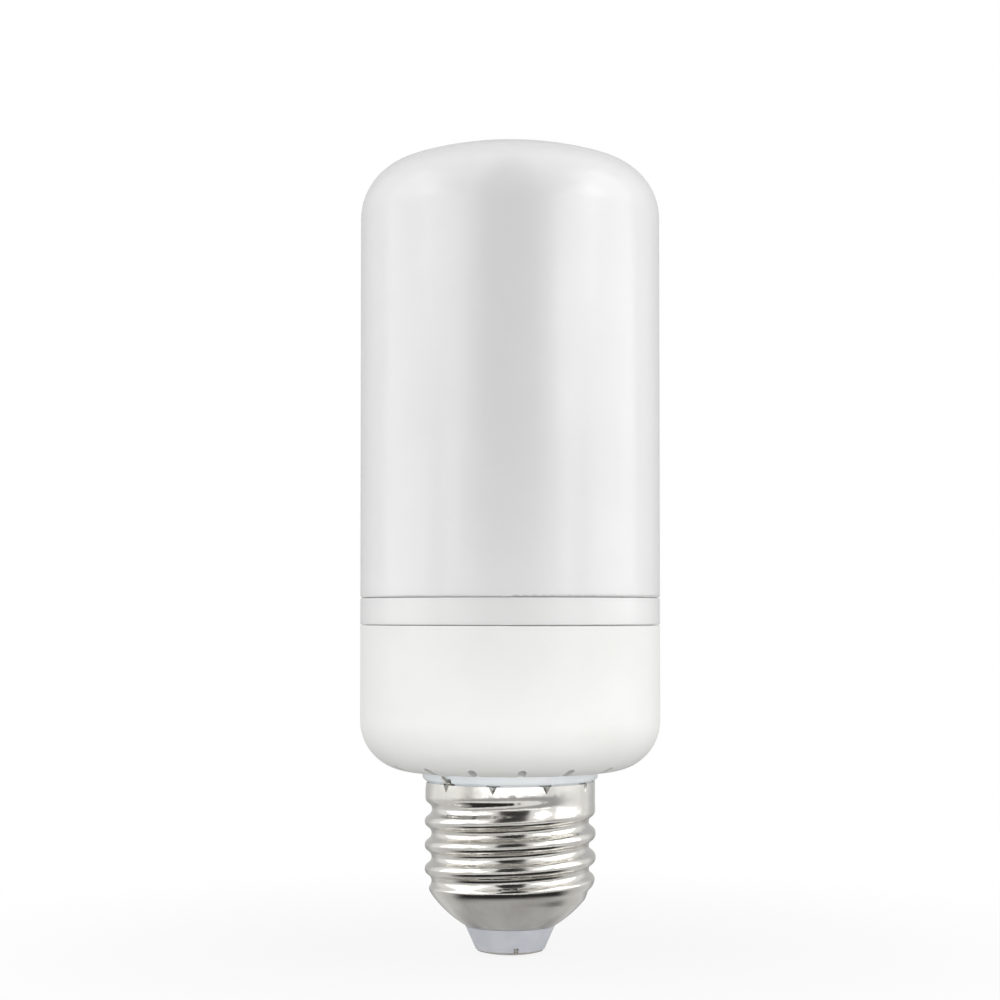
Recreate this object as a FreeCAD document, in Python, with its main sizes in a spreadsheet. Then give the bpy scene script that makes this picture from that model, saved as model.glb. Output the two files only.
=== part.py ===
import FreeCAD, Part

import math
import os
import re

import Sketcher
from FreeCAD import Placement, Rotation, Vector

# A flame effect LED bulb with a 27 mm Edison screw cap.
# The origin is the end of the centre contact, +Z runs up the axis to the dome, and -Y is the front.

# Driving sizes in millimetres, with angles in degrees, turns and counts
SIZES = {
    # Whole bulb
    "bulb_dia": 46.0,
    "bulb_length": 124.0,
    # Clearances
    "fit_gap": 0.05,
    "touch_gap": 0.02,
    # Milky cover
    "cover_wall": 1.2,
    "crown_radius": 52.0,
    "shoulder_radius": 9.2,
    "cover_edge_round": 0.4,
    # Band between cover and housing, with a spigot each way
    "band_height": 4.0,
    "band_seam": 0.08,
    "cover_seam": 0.05,
    "band_edge_round": 0.15,
    "spigot_wall": 1.2,
    "upper_spigot_length": 4.0,
    "lower_spigot_length": 5.0,
    "lug_count": 4,
    "lug_angle": 22.0,
    "lug_reach": 0.5,
    "lug_height": 1.6,
    "lug_level": 1.4,
    # Base housing
    "housing_height": 22.2,
    "housing_wall": 1.8,
    "housing_round": 7.65,
    "housing_edge_round": 0.2,
    "vent_count": 16,
    "vent_width": 1.2,
    "vent_inset": 3.5,
    "vent_start": 1.5,
    "vent_phase": 5.4,
    "rib_count": 8,
    "rib_width": 1.5,
    "rib_depth": 3.0,
    # Neck between housing and cap
    "flange_dia": 26.9,
    "flange_height": 1.5,
    "flange_round": 0.65,
    "neck_wall": 1.25,
    "neck_depth": 6.4,
    "stake_spigot": 1.7,
    "neck_clear": 0.3,
    "lip_height": 1.2,
    "lip_catch": 0.4,
    "finger_count": 4,
    "finger_wall": 1.3,
    "finger_slot": 5.0,
    "hook_reach": 0.7,
    "hook_height": 1.4,
    "hook_gap": 0.1,
    # Screw cap
    "rim_gap": 0.2,
    "shell_height": 21.9,
    "sheet": 0.3,
    "skirt_dia": 26.0,
    "thread_crest_dia": 26.2,
    "thread_root_dia": 24.1,
    "thread_pitch": 3.629,
    "thread_start": 2.8,
    "thread_start_angle": 330.0,
    "thread_turns": 4.43,
    "thread_fade": 0.4,
    "shell_end_dia": 13.9,
    "cone_height": 4.7,
    "cone_bow": 18.0,
    "cone_blend": 1.2,
    "stake_count": 10,
    "stake_phase": -11.4,
    "stake_width": 1.3,
    "stake_height": 1.2,
    "stake_depth": 0.5,
    "stake_tip": 0.02,
    # Insulator and centre contact
    "contact_height": 0.7,
    "contact_dia": 10.1,
    "contact_flat_dia": 4.5,
    "contact_rim": 0.25,
    "contact_bow": 9.0,
    "shank_dia": 2.4,
    "shank_length": 7.5,
    "insulator_height": 3.6,
    "insulator_end_dia": 10.6,
    "insulator_collar": 1.9,
    "insulator_lift": 1.6,
    "insulator_top": 1.2,
    "bare_end_dia": 0.6,
    "bare_end_angle": 9.4,
    # Core with the LED boards
    "core_gap": 4.95,
    "core_wall": 1.5,
    "crown_room": 10.0,
    "foot_thickness": 1.5,
    "rail_height": 18.0,
    "rail_width": 3.2,
    "rail_catch": 0.8,
    "screw_boss_dia": 4.4,
    "screw_boss_depth": 8.0,
    "boss_bite": 0.2,
    "screw_dia": 1.6,
    "screw_length": 6.0,
    "screw_head_dia": 3.4,
    "screw_head_height": 1.2,
    "screw_slot": 0.4,
    "wrap_thickness": 0.3,
    "wrap_margin": 0.5,
    "wrap_seam": 8.0,
    "top_board_thickness": 1.0,
    "top_board_overhang": 0.6,
    # LEDs
    "led_width": 2.8,
    "led_height": 3.5,
    "led_depth": 0.8,
    "led_window_rim": 0.4,
    "led_window_depth": 0.1,
    "leds_in_row": 12,
    "led_rows": 8,
    "top_led_count": 3,
    "top_led_room": 0.8,
    # Driver board and what it carries
    "board_thickness": 1.0,
    "board_room": 1.2,
    "board_notch": 1.0,
    "top_part_drop": 2.75,
    "capacitor_dia": 8.0,
    "capacitor_length": 12.0,
    "resistor_dia": 3.4,
    "resistor_waist": 2.8,
    "resistor_length": 8.0,
    "resistor_level": 2.0,
    "resistor_side": 4.6,
    "film_width": 5.6,
    "film_depth": 4.4,
    "film_length": 8.0,
    "film_level": 2.0,
    "film_side": 3.6,
    "film_round": 0.8,
    "core_block_width": 10.4,
    "core_block_depth": 9.0,
    "core_block_height": 7.8,
    "core_block_level": 12.2,
    "ferrite_leg": 2.0,
    "bobbin_flange": 1.0,
    "winding_dia": 7.2,
    "bridge_width": 4.0,
    "bridge_length": 4.8,
    "bridge_depth": 2.4,
    "bridge_level": 6.0,
    "chip_width": 3.9,
    "chip_depth": 1.5,
    "driver_chip_length": 5.0,
    "driver_chip_level": 13.0,
    "driver_chip_pins": 4,
    "flame_chip_length": 10.0,
    "flame_chip_pins": 8,
    "pin_pitch": 1.27,
    "pin_width": 0.45,
    "pin_reach": 1.1,
    "pin_thickness": 0.4,
    "bridge_pin_pitch": 2.54,
    # Leads
    "side_lead_dia": 0.5,
    "side_lead_angle": 227.0,
    "side_lead_lean": -4.6,
    "side_lead_pad": 6.0,
    "lead_slot_width": 0.9,
    "lead_slot_depth": 0.7,
    "lead_drop": 1.4,
    "lead_rise": 4.0,
    "lead_bend": 1.2,
    "centre_lead_dia": 1.2,
    "centre_lead_pad": 3.0,
    "led_lead_dia": 0.9,
    "led_lead_pad": 6.4,
    "led_lead_drop": 6.75,
}

# Radii and levels that follow from the sizes; levels are heights above the contact's end
DERIVED = {
    "bulb_radius": "bulb_dia / 2",
    "shell_end": "contact_height + insulator_height",
    "shell_rim": "shell_end + shell_height",
    "flange_low": "shell_rim + rim_gap",
    "housing_low": "flange_low + flange_height",
    "housing_top": "housing_low + housing_height",
    "floor_top": "housing_low + housing_wall",
    "band_low": "housing_top + band_seam",
    "band_top": "band_low + band_height",
    "cover_low": "band_top + cover_seam",
    "cover_bore": "bulb_radius - cover_wall",
    "shoulder_axis": "bulb_radius - shoulder_radius",
    "crown_axis": "bulb_length - crown_radius",
    "shoulder_rise": "sqrt((crown_radius - shoulder_radius) ^ 2 - shoulder_axis ^ 2)",
    "crown_share": "1 / (crown_radius - shoulder_radius)",
    "housing_bore": "bulb_radius - housing_wall",
    "upper_spigot": "cover_bore - fit_gap",
    "lower_spigot": "housing_bore - fit_gap",
    "ring_bore": "lower_spigot - spigot_wall",
    "spigot_end": "band_low - lower_spigot_length",
    "lug_low": "spigot_end + lug_level",
    "foot_low": "spigot_end - foot_thickness",
    "foot_radius": "housing_bore - 4 * fit_gap",
    "vent_outer": "bulb_radius - vent_inset",
    "vent_inner": "flange_dia / 2 + vent_start",
    "shell_bore": "skirt_dia / 2 - sheet",
    "stake_radius": "shell_bore - fit_gap",
    "stake_low": "shell_rim - stake_spigot",
    "neck_radius": "thread_root_dia / 2 - sheet - neck_clear",
    "neck_bore": "neck_radius - neck_wall",
    "neck_low": "shell_rim - neck_depth",
    "finger_radius": "neck_bore + finger_wall",
    "floor_hole": "finger_radius + fit_gap",
    "hook_low": "floor_top + hook_gap",
    "hook_radius": "floor_hole + hook_reach",
    "board_half": "neck_bore - board_room",
    "board_face": "board_thickness / 2",
    "board_low": "neck_low + lip_height",
    "board_top": "foot_low + rail_height",
    "lip_radius": "board_half - lip_catch",
    "core_radius": "ring_bore - core_gap",
    "core_top": "bulb_length - cover_wall - crown_room - top_board_thickness",
    "wrap_low": "spigot_end + touch_gap",
    "wrap_top": "core_top - wrap_margin",
    "wrap_bore": "core_radius + touch_gap",
    "wrap_radius": "wrap_bore + wrap_thickness",
    "row_pitch": "(wrap_top - wrap_low) / led_rows",
    "top_board_radius": "core_radius + top_board_overhang",
    "screw_axis": "core_radius - core_wall - screw_boss_dia / 2 + boss_bite",
    "top_led_axis": "screw_axis - screw_head_dia / 2 - top_led_room - led_height / 2",
    "insulator_throat": "shell_end_dia / 2 - sheet - fit_gap",
    "shank_radius": "shank_dia / 2",
    "end_slot": "bare_end_dia + 2 * fit_gap",
}

document = FreeCAD.newDocument("flame_bulb")
sheet = document.addObject("Spreadsheet::Sheet", "Sizes")
for row, (alias, number) in enumerate(SIZES.items(), 1):
    sheet.set(f"A{row}", alias)
    sheet.set(f"B{row}", str(number))
    sheet.setAlias(f"B{row}", alias)
document.recompute()


def formula(text):
    """A formula of sizes and derived values, spelled out in the sheet's cells."""

    def spell(match):
        word = match.group()
        if word in DERIVED:
            return f"({formula(DERIVED[word])})"
        return f"Sizes.{word}" if word in SIZES else word

    return re.sub(r"[a-z]\w+", spell, text)


def value(text):
    """The number that a formula gives now."""
    return float(sheet.evalExpression(formula(text)))


def bind(thing, path, text):
    """Tie one property of an object to a formula."""
    thing.setExpression(path, formula(text))


# Sketches and features, each with its sizes bound to the sheet


def new_body(label):
    """An empty body whose label names the node."""
    body = document.addObject("PartDesign::Body", label)
    body.Label = label
    return body


def origin_part(body, role):
    """One plane or axis of a body's own origin."""
    return next(part for part in body.Origin.OriginFeatures if part.Role == role)


def new_sketch(body, name, plane, away="0", turn="0"):
    """A sketch on an origin plane, moved along its normal and turned about the bulb's axis."""
    sketch = body.newObject("Sketcher::SketchObject", name)
    sketch.AttachmentSupport = (origin_part(body, plane), "")
    sketch.MapMode = "FlatFace"
    axis = Vector(0, 0, 1) if plane == "XY_Plane" else Vector(0, 1, 0)
    sketch.AttachmentOffset = Placement(Vector(0, 0, value(away)), Rotation(axis, value(turn)))
    if away != "0":
        bind(sketch, ".AttachmentOffset.Base.z", away)
    if turn != "0":
        bind(sketch, ".AttachmentOffset.Rotation.Angle", turn)
    return sketch


def hold(sketch, kind, where, text):
    """Hold one coordinate of a point of a sketch, or the radius of an arc, at a formula."""
    if text == "0":
        axis = -2 if kind == "DistanceX" else -1
        sketch.addConstraint(Sketcher.Constraint("PointOnObject", *where, axis))
        return
    fixed = where if kind == "Radius" else (-1, 1, *where)
    number = sketch.addConstraint(Sketcher.Constraint(kind, *fixed, value(text)))
    bind(sketch, f"Constraints[{number}]", text)


def bowed_edge(start, end, radius):
    """The arc from start to end that turns left with a positive radius and right with a negative one."""
    half = (end - start) * 0.5
    left = Vector(-half.y, half.x, 0).normalize()
    reach = math.sqrt(radius * radius - half.Length**2)
    centre = start + half + left * math.copysign(reach, radius)
    first, last = (start, end) if radius > 0 else (end, start)
    angles = [math.atan2(point.y - centre.y, point.x - centre.x) for point in (first, last)]
    return Part.ArcOfCircle(Part.Circle(centre, Vector(0, 0, 1), abs(radius)), *angles)


def draw_outline(sketch, corners):
    """A closed outline through corners given as formulas.

    A corner's third entry is the bow of the edge that follows, or "round" for an upright half circle.
    """
    places = [Vector(value(corner[0]), value(corner[1]), 0) for corner in corners]
    edges = []
    for index, corner in enumerate(corners):
        start, end = places[index], places[(index + 1) % len(places)]
        bend = corner[2] if len(corner) > 2 else "0"
        bow = start.distanceToPoint(end) / 2 if bend == "round" else value(bend)
        curve = bowed_edge(start, end, bow) if bow else Part.LineSegment(start, end)
        edge = sketch.addGeometry(curve, False)
        ends = (2, 1) if bow < 0 else (1, 2)
        edges.append((edge, ends))
        if bend == "round":
            hold(sketch, "DistanceX", (edge, 3), corner[0])
        elif bow:
            hold(sketch, "Radius", (edge,), bend.lstrip("-"))
    for index, (edge, ends) in enumerate(edges):
        following, its_ends = edges[(index + 1) % len(edges)]
        sketch.addConstraint(Sketcher.Constraint("Coincident", edge, ends[1], following, its_ends[0]))
        hold(sketch, "DistanceX", (edge, ends[0]), corners[index][0])
        hold(sketch, "DistanceY", (edge, ends[0]), corners[index][1])


def draw_circle(sketch, across, along, radius):
    """A circle with its centre and radius held by formulas."""
    centre = Vector(value(across), value(along), 0)
    edge = sketch.addGeometry(Part.Circle(centre, Vector(0, 0, 1), value(radius)), False)
    hold(sketch, "DistanceX", (edge, 3), across)
    hold(sketch, "DistanceY", (edge, 3), along)
    hold(sketch, "Radius", (edge,), radius)


def rectangle(low_x, low_y, high_x, high_y):
    """The four corners of an upright rectangle."""
    return [(low_x, low_y), (high_x, low_y), (high_x, high_y), (low_x, high_y)]


def turn_outline(body, name, corners, kind="Revolution", angle="360", turn="0"):
    """Turn an outline of radius and level about the axis, to add material or, as a groove, to cut it."""
    sketch = new_sketch(body, f"{name}_outline", "XZ_Plane", turn=turn)
    draw_outline(sketch, corners)
    feature = body.newObject(f"PartDesign::{kind}", name)
    feature.Profile = sketch
    feature.ReferenceAxis = (sketch, ["V_Axis"])
    feature.Midplane = angle != "360"
    bind(feature, "Angle", angle)
    return feature


def extrude(body, name, sketch, length, kind="Pad", middle=False, backwards=False):
    """Pad or pocket a sketch by a bound length."""
    feature = body.newObject(f"PartDesign::{kind}", name)
    feature.Profile = sketch
    feature.Midplane = middle
    feature.Reversed = backwards
    bind(feature, "Length", length)
    return feature


def repeat_round(body, name, features, count):
    """Repeat features evenly about the axis."""
    pattern = body.newObject("PartDesign::PolarPattern", name)
    pattern.Originals = features
    pattern.Axis = (origin_part(body, "Z_Axis"), [""])
    bind(pattern, "Occurrences", count)
    body.Tip = pattern
    return pattern


def round_rims(body, name, rims, radius, kind="Fillet"):
    """Round or chamfer the circular edges that lie at the given radii and levels."""
    document.recompute()
    base = body.Tip
    places = [(value(across), value(level)) for across, level in rims]
    found = []
    for number, edge in enumerate(base.Shape.Edges, 1):
        if edge.Degenerated or not isinstance(edge.Curve, Part.Circle):
            continue
        centre = edge.Curve.Center
        for across, level in places:
            on_axis = math.hypot(centre.x, centre.y) < 1e-4
            if on_axis and abs(edge.Curve.Radius - across) < 1e-3 and abs(centre.z - level) < 1e-3:
                found.append(f"Edge{number}")
    feature = body.newObject(f"PartDesign::{kind}", name)
    feature.Base = (base, found)
    bind(feature, "Radius" if kind == "Fillet" else "Size", radius)
    return feature


def hollow_out(body, name, level, wall):
    """Leave a wall of even thickness, open at the flat face at the given level."""
    document.recompute()
    base = body.Tip
    height = value(level)
    open_faces = [
        f"Face{number}"
        for number, face in enumerate(base.Shape.Faces, 1)
        if isinstance(face.Surface, Part.Plane) and abs(face.CenterOfMass.z - height) < 1e-4
    ]
    feature = body.newObject("PartDesign::Thickness", name)
    feature.Base = (base, open_faces)
    feature.Join = "Intersection"
    bind(feature, "Value", wall)
    return feature


# Milky cover


def crown_join(radius):
    """Where the crown of a given radius meets the shoulder without a crease."""
    return f"{radius} * shoulder_axis * crown_share", f"crown_axis + {radius} * shoulder_rise * crown_share"


def make_diffuser_cover():
    """A straight tube closed by a flat crown with a round shoulder, of even wall, open below."""
    body = new_body("diffuser_cover")
    inner_crown = "(crown_radius - cover_wall)"
    inner_shoulder = "(shoulder_radius - cover_wall)"
    shoulder_level = "crown_axis + shoulder_rise"
    corners = [
        ("cover_bore", "cover_low"),
        ("bulb_radius", "cover_low"),
        ("bulb_radius", shoulder_level, "shoulder_radius"),
        (*crown_join("crown_radius"), "crown_radius"),
        ("0", "bulb_length"),
        ("0", "bulb_length - cover_wall", f"-{inner_crown}"),
        (*crown_join(inner_crown), f"-{inner_shoulder}"),
        ("cover_bore", shoulder_level),
    ]
    turn_outline(body, "cover_form", corners)
    round_rims(body, "cover_edge", [("bulb_radius", "cover_low")], "cover_edge_round")
    return body


# Band between cover and housing


def make_cover_ring():
    """The band, with a spigot up into the cover and one down into the housing that carries snap lugs."""
    body = new_body("cover_ring")
    corners = [
        ("ring_bore", "spigot_end"),
        ("lower_spigot", "spigot_end"),
        ("lower_spigot", "band_low"),
        ("bulb_radius", "band_low"),
        ("bulb_radius", "band_top"),
        ("upper_spigot", "band_top"),
        ("upper_spigot", "band_top + upper_spigot_length"),
        ("ring_bore", "band_top + upper_spigot_length"),
    ]
    turn_outline(body, "ring_form", corners)
    lug = [
        ("lower_spigot - lug_reach", "lug_low"),
        ("lower_spigot", "lug_low"),
        ("lower_spigot + lug_reach", "lug_low + lug_reach"),
        ("lower_spigot + lug_reach", "lug_low + lug_height - lug_reach"),
        ("lower_spigot", "lug_low + lug_height"),
        ("lower_spigot - lug_reach", "lug_low + lug_height"),
    ]
    first_lug = turn_outline(body, "snap_lug", lug, angle="lug_angle")
    repeat_round(body, "snap_lugs", [first_lug], "lug_count")
    rims = [("bulb_radius", "band_low"), ("bulb_radius", "band_top")]
    round_rims(body, "band_edges", rims, "band_edge_round")
    return body


# Base housing


def make_base_housing():
    """A moulded cup with a round lower edge, vents through its floor, shelf ribs and a groove for the lugs."""
    body = new_body("base_housing")
    cup = rectangle("0", "housing_low", "bulb_radius", "housing_top")
    turn_outline(body, "housing_form", cup)
    round_rims(body, "housing_lower_edge", [("bulb_radius", "housing_low")], "housing_round")
    hollow_out(body, "housing_hollow", "housing_top", "housing_wall")
    hole = new_sketch(body, "floor_hole_outline", "XY_Plane")
    draw_circle(hole, "0", "0", "floor_hole")
    extrude(body, "floor_hole_cut", hole, "floor_top + housing_wall", "Pocket", backwards=True)
    groove = [
        ("housing_bore - lug_reach", "lug_low - fit_gap"),
        ("housing_bore", "lug_low - fit_gap"),
        ("housing_bore + lug_reach", "lug_low - fit_gap + lug_reach"),
        ("housing_bore + lug_reach", "lug_low + fit_gap + lug_height - lug_reach"),
        ("housing_bore", "lug_low + fit_gap + lug_height"),
        ("housing_bore - lug_reach", "lug_low + fit_gap + lug_height"),
    ]
    turn_outline(body, "lug_groove", groove, "Groove")
    add_shelf_ribs(body)
    add_vents(body)
    round_rims(body, "housing_upper_edge", [("bulb_radius", "housing_top")], "housing_edge_round")
    return body


def add_shelf_ribs(body):
    """Ribs inside the wall, whose tops are the shelf that the core's foot stands on."""
    mid_wall = "(housing_round - housing_wall / 2)"
    round_axis = "(bulb_radius - housing_round)"
    rib_face = "(housing_bore - rib_depth)"
    rib = [
        (rib_face, "foot_low"),
        (rib_face, f"housing_low + housing_round - sqrt({mid_wall} ^ 2 - ({rib_face} - {round_axis}) ^ 2)"),
        (f"{round_axis} + {mid_wall} * cos(45)", f"housing_low + housing_round - {mid_wall} * sin(45)"),
        (f"{round_axis} + {mid_wall}", "housing_low + housing_round"),
        (f"{round_axis} + {mid_wall}", "foot_low"),
    ]
    sketch = new_sketch(body, "rib_outline", "XZ_Plane", turn="vent_phase - 90 + 180 / vent_count")
    draw_outline(sketch, rib)
    first_rib = extrude(body, "shelf_rib", sketch, "rib_width", middle=True)
    repeat_round(body, "shelf_ribs", [first_rib], "rib_count")


def add_vents(body):
    """Radial slots with round ends through the floor and the lower edge."""
    half = "vent_width / 2"
    corners = [
        ("vent_inner", f"-{half}"),
        ("vent_outer - vent_width / 2", f"-{half}", "round"),
        ("vent_outer - vent_width / 2", f"{half}"),
        ("vent_inner", f"{half}"),
    ]
    sketch = new_sketch(body, "vent_outline", "XY_Plane", turn="vent_phase - 90")
    draw_outline(sketch, corners)
    first_vent = extrude(
        body, "vent", sketch, "housing_low + housing_round", "Pocket", backwards=True
    )
    repeat_round(body, "vents", [first_vent], "vent_count")


# Neck between housing and cap


def make_cap_neck():
    """A collar with a flange, a stepped spigot in the cap and snap fingers hooked over the housing's floor."""
    body = new_body("cap_neck")
    corners = [
        ("lip_radius", "neck_low"),
        ("neck_radius", "neck_low"),
        ("neck_radius", "stake_low"),
        ("stake_radius", "stake_low"),
        ("stake_radius", "flange_low"),
        ("flange_dia / 2", "flange_low"),
        ("flange_dia / 2", "housing_low"),
        ("finger_radius", "housing_low"),
        ("finger_radius", "hook_low"),
        ("hook_radius", "hook_low"),
        ("finger_radius", "hook_low + hook_height"),
        ("neck_bore", "hook_low + hook_height"),
        ("neck_bore", "board_low"),
        ("lip_radius", "board_low"),
    ]
    turn_outline(body, "neck_form", corners)
    round_rims(body, "flange_edge", [("flange_dia / 2", "flange_low")], "flange_round")
    slot = new_sketch(body, "finger_slot_outline", "XY_Plane", away="housing_low + fit_gap")
    reach = "hook_radius + fit_gap"
    draw_outline(slot, rectangle("0", "-finger_slot / 2", reach, "finger_slot / 2"))
    length = "hook_low + hook_height - housing_low"
    first_slot = extrude(body, "finger_slot", slot, length, "Pocket", backwards=True)
    repeat_round(body, "finger_slots", [first_slot], "finger_count")
    add_stake_seats(body)
    add_lead_slot(body)
    return body


def add_stake_seats(body):
    """Flats in the wide spigot that take the stakes punched into the cap's rim."""
    inner = "shell_bore - stake_depth - 2 * fit_gap"
    half = "(stake_width / 2 + sheet + fit_gap)"
    sketch = new_sketch(body, "stake_seat_outline", "XY_Plane", turn="stake_phase - 90")
    draw_outline(sketch, rectangle(inner, f"-{half}", "shell_bore", half))
    first_seat = extrude(body, "stake_seat", sketch, "flange_low", "Pocket", backwards=True)
    repeat_round(body, "stake_seats", [first_seat], "stake_count")


def add_lead_slot(body):
    """A slot up the spigot and out under the flange, for the lead that is pinched over the cap's rim."""
    half = "lead_slot_width / 2"
    groove = new_sketch(body, "lead_slot_outline", "XY_Plane", turn="side_lead_angle")
    draw_outline(groove, rectangle("neck_radius - lead_slot_depth", f"-{half}", "shell_bore", half))
    length = "shell_rim + 2 * side_lead_dia"
    extrude(body, "lead_slot", groove, length, "Pocket", backwards=True)
    notch = new_sketch(body, "lead_notch_outline", "XY_Plane", turn="side_lead_angle")
    draw_outline(notch, rectangle("stake_radius - lead_slot_depth", f"-{half}", "flange_dia / 2 + sheet", half))
    extrude(body, "lead_notch", notch, length, "Pocket", backwards=True)


# Screw cap


def smooth_step(share):
    """Ease from 0 to 1 as the share goes from 0 to 1."""
    share = min(max(share, 0.0), 1.0)
    return share * share * (3 - 2 * share)


def smooth_min(first, second, width):
    """The smaller of two values, blended over a width where they cross."""
    overlap = max(width - abs(first - second), 0.0) / width
    return min(first, second) - overlap * overlap * width / 4


class ThreadedSheet:
    """The cap's outer surface as a formula: radius by angle and height."""

    def __init__(self):
        self.pitch = value("thread_pitch")
        self.crest = value("thread_crest_dia / 2")
        self.skirt = value("skirt_dia / 2")
        self.depth = value("(thread_crest_dia - thread_root_dia) / 2")
        self.bow = ((self.pitch / 4) ** 2 + (self.depth / 2) ** 2) / self.depth
        self.low = value("shell_end")
        self.high = value("shell_rim")
        self.start = value("shell_rim - thread_start")
        self.start_angle = value("thread_start_angle")
        self.turns = value("thread_turns")
        self.fade = value("thread_fade")
        self.blend = value("cone_blend")
        self.place_cone()

    def place_cone(self):
        """Find the axis of the bowed cone between the end hole and the thread's root."""
        self.cone_bow = value("cone_bow")
        inner = Vector(value("shell_end_dia / 2"), self.low, 0)
        outer = Vector(value("thread_root_dia / 2"), self.low + value("cone_height"), 0)
        arc = bowed_edge(inner, outer, self.cone_bow)
        self.cone_axis = arc.Circle.Center

    def barrel(self, height):
        """The radius over the crests and, higher up, of the skirt."""
        share = smooth_step((height - self.start + self.pitch) / self.pitch)
        return self.crest + (self.skirt - self.crest) * share

    def cone(self, height):
        """The radius of the bowed cone, which widens upward from the end hole."""
        rise = min(height - self.cone_axis.y, 0.0)
        return self.cone_axis.x + math.sqrt(self.cone_bow**2 - rise * rise)

    def groove_share(self, offset):
        """The depth at a height from a groove's middle, as a share: two equal arcs, crest and root."""
        distance = min(abs(offset), self.pitch / 2)
        from_root = distance <= self.pitch / 4
        reach = distance if from_root else self.pitch / 2 - distance
        drop = (self.bow - math.sqrt(self.bow**2 - reach * reach)) / self.depth
        return 1 - drop if from_root else drop

    def radius(self, angle, height):
        """The outer radius at an angle in degrees and a height."""
        turn = (self.start_angle - angle) / 360
        turn += round((self.start - height) / self.pitch - turn)
        offset = height - (self.start - self.pitch * turn)
        strength = smooth_step(turn / self.fade) * smooth_step((self.turns - turn) / self.fade)
        threaded = self.barrel(height) - self.depth * strength * self.groove_share(offset)
        return smooth_min(self.cone(height), threaded, self.blend)

    def point(self, angle, height, inset):
        """A point on the sheet, moved in along the surface's normal by the inset."""
        step = 0.01
        radius = self.radius(angle, height)
        rise = (self.radius(angle, height + step) - self.radius(angle, height - step)) / (2 * step)
        sweep = (self.radius(angle + 1, height) - self.radius(angle - 1, height)) / math.radians(2)
        turned = Rotation(Vector(0, 0, 1), angle)
        normal = turned.multVec(Vector(1, -sweep / radius, -rise)).normalize()
        return turned.multVec(Vector(radius, 0, 0)) + Vector(0, 0, height) - normal * inset

    def face(self, inset):
        """The whole side as one spline surface, closed at the back."""
        columns = 36
        rows = round(12 * (self.high - self.low) / self.pitch)
        heights = [self.low + (self.high - self.low) * row / rows for row in range(rows + 1)]
        angles = [90 + 360 * column / columns for column in range(columns + 1)]
        surface = Part.BSplineSurface()
        surface.interpolate([[self.point(angle, height, inset) for height in heights] for angle in angles])
        return surface.toShape()


def end_rims(face):
    """The lowest and the highest of a side face's edges."""
    edges = sorted(face.Edges, key=lambda edge: edge.CenterOfMass.z)
    return edges[0], edges[-1]


def rolled_sheet():
    """The sheet between its outer and inner sides, closed by a ring at each end."""
    thread = ThreadedSheet()
    outer = thread.face(0.0)
    inner = thread.face(value("sheet"))
    outer_low, outer_high = end_rims(outer)
    inner_low, inner_high = end_rims(inner)
    low_ring = Part.makeRuledSurface(outer_low, inner_low)
    high_ring = Part.makeRuledSurface(inner_high, outer_high)
    skin = Part.makeShell([outer, inner, low_ring, high_ring])
    return Part.makeSolid(skin)


def pyramid(apex, corners):
    """A solid with one triangular face for each side of a three-cornered base."""
    first, second, third = corners
    sides = [(first, second, third), (apex, first, second), (apex, second, third), (apex, third, first)]
    faces = [Part.Face(Part.makePolygon([*side, side[0]])) for side in sides]
    return Part.makeSolid(Part.makeShell(faces))


def stake(radius, depth, overlap):
    """A punched notch that hangs from the rim: an apex on the wall, and a wedge that deepens upwards."""
    rim = value("shell_rim")
    flank = value("stake_width / (2 * stake_depth)")
    apex = Vector(radius, 0, rim - value("stake_height"))
    deep = Vector(radius - depth, 0, rim)
    wide = (depth + overlap) * flank
    corners = [deep, Vector(radius + overlap, wide, rim), Vector(radius + overlap, -wide, rim)]
    return apex, corners


def make_screw_shell():
    """The rolled and staked sheet of the cap."""
    feature = document.addObject("Part::Feature", "screw_shell")
    feature.Label = "screw_shell"
    depth = value("stake_depth")
    skirt = value("skirt_dia / 2")
    bore = value("shell_bore")
    above = 1.3
    tip = value("stake_tip")
    apex, corners = stake(skirt + tip, depth + tip, depth)
    notch = pyramid(apex, [apex + (corner - apex) * above for corner in corners])
    inner_apex, inner_corners = stake(bore, depth, value("sheet / 2"))
    bump = pyramid(inner_apex + Vector(value("sheet / 2"), 0, 0), inner_corners)
    notches, bumps = [], []
    count = int(value("stake_count"))
    for index in range(count):
        angle = value("stake_phase") - 90 + 360 * index / count
        for tool, copies in ((notch, notches), (bump, bumps)):
            copy = tool.copy()
            copy.rotate(Vector(0, 0, 0), Vector(0, 0, 1), angle)
            copies.append(copy)
    sheet = rolled_sheet().fuse(bumps)
    for copy in notches:
        staked = sheet.cut(copy)
        if not 0.02 < (sheet.Volume - staked.Volume) / copy.Volume < 0.5:
            raise RuntimeError("A stake isn't punched into the shell's rim.")
        sheet = staked
    feature.Shape = sheet
    return feature


def make_cap_insulator():
    """The cone at the cap's end, with a throat through the shell's end hole, a collar and a slot for a lead."""
    body = new_body("cap_insulator")
    collar = "insulator_throat + insulator_collar"
    collar_low = "shell_end + 2 * sheet"
    collar_high = "shell_end + 2 * sheet + insulator_lift"
    corners = [
        ("shank_radius + fit_gap", "contact_height"),
        ("insulator_end_dia / 2", "contact_height"),
        ("shell_end_dia / 2 - fit_gap", "shell_end - fit_gap"),
        ("insulator_throat", "shell_end - fit_gap"),
        ("insulator_throat", collar_low),
        (collar, collar_high),
        (collar, f"{collar_high} + insulator_top"),
        ("shank_radius + fit_gap", f"{collar_high} + insulator_top"),
    ]
    turn_outline(body, "insulator_form", corners)
    slot = new_sketch(body, "end_slot_outline", "XY_Plane", away="contact_height", turn="bare_end_angle - 90")
    draw_outline(slot, rectangle("shank_radius", "-end_slot / 2", "shell_end_dia / 2", "end_slot / 2"))
    extrude(body, "end_slot", slot, "end_slot", "Pocket", backwards=True)
    return body


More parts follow.
